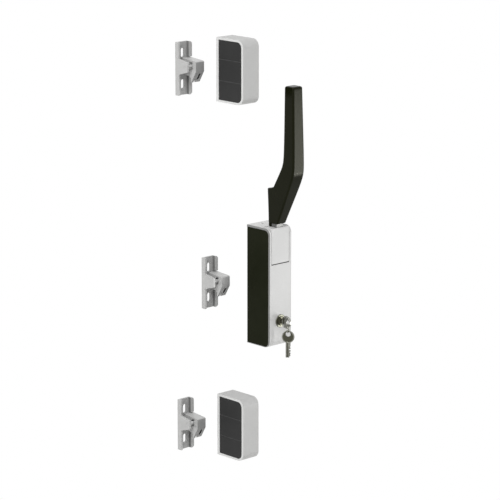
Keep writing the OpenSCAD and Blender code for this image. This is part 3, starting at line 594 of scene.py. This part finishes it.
# %% Lines on the end caps
BOXES = {"upper": 280.0, "lower": -175.0}
BOX_HEIGHT, BOX_MIDDLE_Y = 80, -24.0
# Painted highlight: the floor of each cap line is paler grey.
LINE_HIGHLIGHT_GREY, LINE_SLAB = (0.10, 0.10, 0.10), (12.9, 30.0, 0.32)
for box, z in BOXES.items():
    lines = [(LINE_HIGHLIGHT_GREY, (BOX_X, BOX_MIDDLE_Y, z + side * BOX_HEIGHT / 6), LINE_SLAB) for side in (-1, 1)]
    lined = repaint(finishes["grey_cap"], box + "_lined_cap", lines)
    for hand in ("left", "right"):
        nodes[box + "_cap_" + hand].data.materials[0] = lined
print("lined caps:", 2 * len(BOXES))

# %% [markdown]
# CAD edges are perfectly sharp, and real ones never are: a metal shell, a moulded cap and a stamped key all
# catch a thin line of light along their edges. The edges could be rounded in CAD, at a great cost in faces.
# A bevel modifier rounds them here without touching the meshes. The corners that the CAD export splits are
# welded first, so the bevel can run on, and weighted normals keep the large faces flat.

# %% Edge helpers
WELD_GAP = 0.002
EDGE_ANGLE = math.radians(40)


def flatten(piece):
    normals = piece.modifiers.new("flat_faces", "WEIGHTED_NORMAL")
    normals.keep_sharp = False
    normals.weight = 90


def soften(piece, width):
    weld = piece.modifiers.new("weld", "WELD")
    weld.merge_threshold = WELD_GAP * MM
    bevel = piece.modifiers.new("soft_edge", "BEVEL")
    bevel.width = width * MM
    bevel.segments = 2
    bevel.limit_method = "ANGLE"
    bevel.angle_limit = EDGE_ANGLE
    bevel.harden_normals = False
    bevel.use_clamp_overlap = True
    flatten(piece)


print("edge helpers: flatten, soften")

# %% [markdown]
# How round an edge is depends on how the piece is made: a moulded cap has a finer edge than a coated shell,
# and a raw cast hub has a coarser one. One width for all would be quicker, but the small keys and bolts
# would look melted. So each piece has its own width, in millimetres.

# %% Soft edges
EDGES = {"main_housing": 0.5, "hub_cover": 0.45, "main_cap_left": 0.3, "main_cap_right": 0.3,
         "upper_housing": 0.5, "lower_housing": 0.5, "upper_cap_left": 0.25, "upper_cap_right": 0.25,
         "lower_cap_left": 0.25, "lower_cap_right": 0.25, "lever_hub": 0.6, "main_back_plate": 0.3,
         "inserted_key": 0.25, "spare_key": 0.25, "lock_cylinder": 0.4, "lock_plug": 0.2,
         "main_yoke": 0.3, "upper_yoke": 0.3, "lower_yoke": 0.3}
STRIKE_EDGES = {"_strike_base": 0.45, "_strike_nose": 0.45, "_strike_bolt": 0.2}
for strike in STRIKES:
    EDGES.update({strike + ending: width for ending, width in STRIKE_EDGES.items()})
for name, width in EDGES.items():
    soften(nodes[name], width)
print("softened:", len(EDGES))

# %% [markdown]
# The lever is one glass-filled moulding: a root block with a step behind it, an inclined shank and an
# upright grip that tapers to its top. In CAD it is a loft of fewer sections. A subdivided cage could smooth
# it, but would pull its faces hollow. Here the same lines are lofted again with closer sections and finer
# corners. Two straight lines meet in a soft join, so that light runs over the bend without a break.

# %% Lever lines
CASE_TOP, ROOT, STEP, BEND, LEVER_TOP = 77.0, 81.8, 127.0, 149.0, 259.0
ROOT_WIDTH, BEND_WIDTH, TOP_WIDTH = 15.5, 20.0, 17.0
ROOT_FRONT, FRONT_LEAN, GRIP_FRONT, FRONT_TAPER, FRONT_SOFTNESS = 44.0, 0.48, 72.5, 0.03, 2.2
STEP_REAR, REAR_LEAN, GRIP_REAR, REAR_SOFTNESS = 36.5, 0.62, 56.6, 2.6


def soft_join(one, two, softness):
    return (one + two) / 2 - math.hypot((one - two) / 2, softness)


def lever_front(z):
    shank, grip = ROOT_FRONT + (z - ROOT) * FRONT_LEAN, GRIP_FRONT + FRONT_TAPER * (LEVER_TOP - z)
    return soft_join(shank, grip, FRONT_SOFTNESS)


def lever_rear(z):
    return soft_join(STEP_REAR + (z - STEP) * REAR_LEAN, GRIP_REAR, REAR_SOFTNESS)


def lever_half_width(z):
    if z < BEND:
        rise = math.sin(math.pi / 2 * (z - CASE_TOP) / (BEND - CASE_TOP))
        return (ROOT_WIDTH + (BEND_WIDTH - ROOT_WIDTH) * rise * rise) / 2
    return (BEND_WIDTH - (BEND_WIDTH - TOP_WIDTH) * (z - BEND) / (LEVER_TOP - BEND)) / 2


print("lever front at the bend:", round(lever_front(BEND), 1), "mm")

# %% [markdown]
# The step behind the root gets a few extra sections close together, so that its edge and its inner corner
# come out softly rounded, as a mould has to have them. The root and the top are rounded by sections that
# draw in along a quarter circle. A bevel could round them too, but it would run along the sides as well.
# Each section is a height, the depth of the back and how far it draws in.

# %% Lever sections
CORNER = 2.4
ROOT_BACK, ROOT_ROUND = 27.0, 1.2
STEP_REACH, TOP_REACH = 2.2, 3.0
STEP_ROUND = ((-1.3, 27.1), (-0.7, 27.4), (-0.25, 28.1), (0.0, 29.2), (0.2, 31.2), (0.45, 33.0),
              (0.9, 34.7), (1.5, 36.0))


def spaced(start, end, parts):
    return [start + (end - start) * k / parts for k in range(parts + 1)]


lever_rows = [(ROOT + ROOT_ROUND * (1 - math.cos(turn)), ROOT_BACK, ROOT_ROUND * (1 - math.sin(turn)))
              for turn in spaced(0, math.pi / 2, 3)]
lever_rows += [(z, ROOT_BACK, 0) for z in spaced(ROOT + ROOT_ROUND, STEP - STEP_REACH, 12)[1:]]
lever_rows += [(STEP + dz, back, 0) for dz, back in STEP_ROUND]
lever_rows += [(z, lever_rear(z), 0) for z in spaced(STEP + STEP_REACH, LEVER_TOP - TOP_REACH, 48)]
for turn in spaced(0, math.pi / 2, 6)[1:]:
    z = LEVER_TOP - CORNER + CORNER * math.sin(turn)
    lever_rows.append((z, lever_rear(z), CORNER * (1 - math.cos(turn))))
print("lever sections:", len(lever_rows))

# %% [markdown]
# Each section becomes a rectangle with round corners. Neighbouring sections are joined with quads and both
# ends are closed, so the skin is one closed shell. The skin and screw modifiers can't follow lines that
# change in width and depth at once, and a loft of listed sections can.

# %% Loft helpers
CORNER_STEPS = 7


def section(z, half_w, back, front, inset, radius):
    points = []
    half_w, back, front = half_w - inset, back + inset, front - inset
    for x, u, start in ((half_w - radius, back + radius, 0), (radius - half_w, back + radius, 90),
                        (radius - half_w, front - radius, 180), (half_w - radius, front - radius, 270)):
        for step in range(CORNER_STEPS + 1):
            angle = math.radians(start + 90 * step / CORNER_STEPS)
            points.append((x + radius * math.cos(angle), -u + radius * math.sin(angle), z))
    return points


def add_loft(mesh, sections):
    rows = [[mesh.verts.new([v * MM for v in p]) for p in s] for s in sections]
    for low_row, high_row in zip(rows, rows[1:]):
        count = len(low_row)
        for i in range(count):
            j = (i + 1) % count
            mesh.faces.new((low_row[i], low_row[j], high_row[j], high_row[i]))
    mesh.faces.new(list(reversed(rows[0])))
    mesh.faces.new(rows[-1])


print("loft helpers: sections of", 4 * (CORNER_STEPS + 1), "points")

# %% [markdown]
# A new piece is more than a mesh: it moves with a body of the lock, takes its finish from the record, and
# hides the CAD solid that it stands for. All this could be written out for each piece. The lever and the
# three springs need the same lines, so one helper holds them.

# %% Piece helper
def make_piece(name, mesh, body, slot, *replaced):
    bmesh.ops.recalc_face_normals(mesh, faces=mesh.faces)
    data = bpy.data.meshes.new(name)
    mesh.to_mesh(data)
    mesh.free()
    for face in data.polygons:
        face.use_smooth = True
    piece = bpy.data.objects.new(name, data)
    bpy.context.collection.objects.link(piece)
    data.materials.append(finishes[slot])
    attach(piece, body)
    if replaced:
        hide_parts(*replaced)
    return piece


print("piece helper: make_piece")

# %% [markdown]
# The skin has two lofts: the lever itself, and a small lip below its root that covers the back of the hub's
# neck. A Boolean could fuse them, but it leaves uneven faces along the joint. So the lip simply reaches up
# into the root, where nothing shows, and weighted normals keep the broad sides of the lever flat.

# %% Lever skin
LIP_HALF_WIDTH, LIP_FRONT, LIP_CORNER = 6.75, 30.9, 1.2
LIP_ROWS = ((77.4, 0.5), (77.6, 0.15), (78.0, 0), (82.0, 0), (85.4, 0))
lever_mesh = bmesh.new()
add_loft(lever_mesh, [section(z, lever_half_width(z), back, lever_front(z), inset, CORNER)
                      for z, back, inset in lever_rows])
add_loft(lever_mesh, [section(z, LIP_HALF_WIDTH, ROOT_BACK, LIP_FRONT, inset, LIP_CORNER)
                      for z, inset in LIP_ROWS])
lever_skin = make_piece("lever_skin", lever_mesh, "lever", "lever_plastic", "lever_grip")
flatten(lever_skin)
print("lever skin:", len(lever_skin.data.polygons), "faces")

# %% [markdown]
# Three return springs push the latch slides up. A spring is drawn wire wound on a mandrel, with its end
# turns laid close. A screw modifier could wind it, but with one pitch only. Sweeping a small circle along a
# helix lets the pitch ease at both ends.

# %% Spring helpers
COIL, WIRE, EASE = 3.9, 0.6, 0.09
STEPS_PER_TURN, WIRE_SIDES = 28, 10
FULL_TURN = 2 * math.pi


def wire_along(mesh, path):
    rings = []
    turns = [FULL_TURN * k / WIRE_SIDES for k in range(WIRE_SIDES)]
    for i, point in enumerate(path):
        along = (path[min(i + 1, len(path) - 1)] - path[max(i - 1, 0)]).normalized()
        side = along.cross(Vector((0, 0, 1))).normalized()
        up = side.cross(along).normalized()
        rings.append([point + (side * math.cos(turn) + up * math.sin(turn)) * WIRE for turn in turns])
    add_loft(mesh, rings)


def spring_path(x, y, low_z, high_z, turns):
    path = []
    rise = high_z - low_z - 2 * WIRE
    for share in spaced(0, 1, turns * STEPS_PER_TURN):
        eased = share - EASE * math.sin(FULL_TURN * share)
        angle = FULL_TURN * turns * share
        path.append(Vector((x + COIL * math.cos(angle), y + COIL * math.sin(angle),
                            low_z + WIRE + rise * eased)))
    return path


print("spring wire:", 2 * WIRE, "mm on a coil of", 2 * COIL, "mm")

# %% [markdown]
# One spring stands under each slide, on a shelf of its case or box. It could ride on the slide, but then
# its foot would leave the shelf. So it stays with the lock.

# %% Return springs
SPRINGS = {"main": (0.0, -28.5, -6.0, 6),
           "upper": (BOX_X, 243.8, 274.0, 7),
           "lower": (BOX_X, -211.2, -181.0, 7)}
SPRING_Y, TRAVEL = -33.0, 9.184
for latch, (x, low_z, high_z, turns) in SPRINGS.items():
    wire_mesh = bmesh.new()
    wire_along(wire_mesh, spring_path(x, SPRING_Y, low_z, high_z, turns))
    spring = make_piece(latch + "_spring_wire", wire_mesh, "lock_set", "spring_steel", latch + "_spring")
    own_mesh(spring)
    print(spring.name, len(spring.data.vertices), "points")
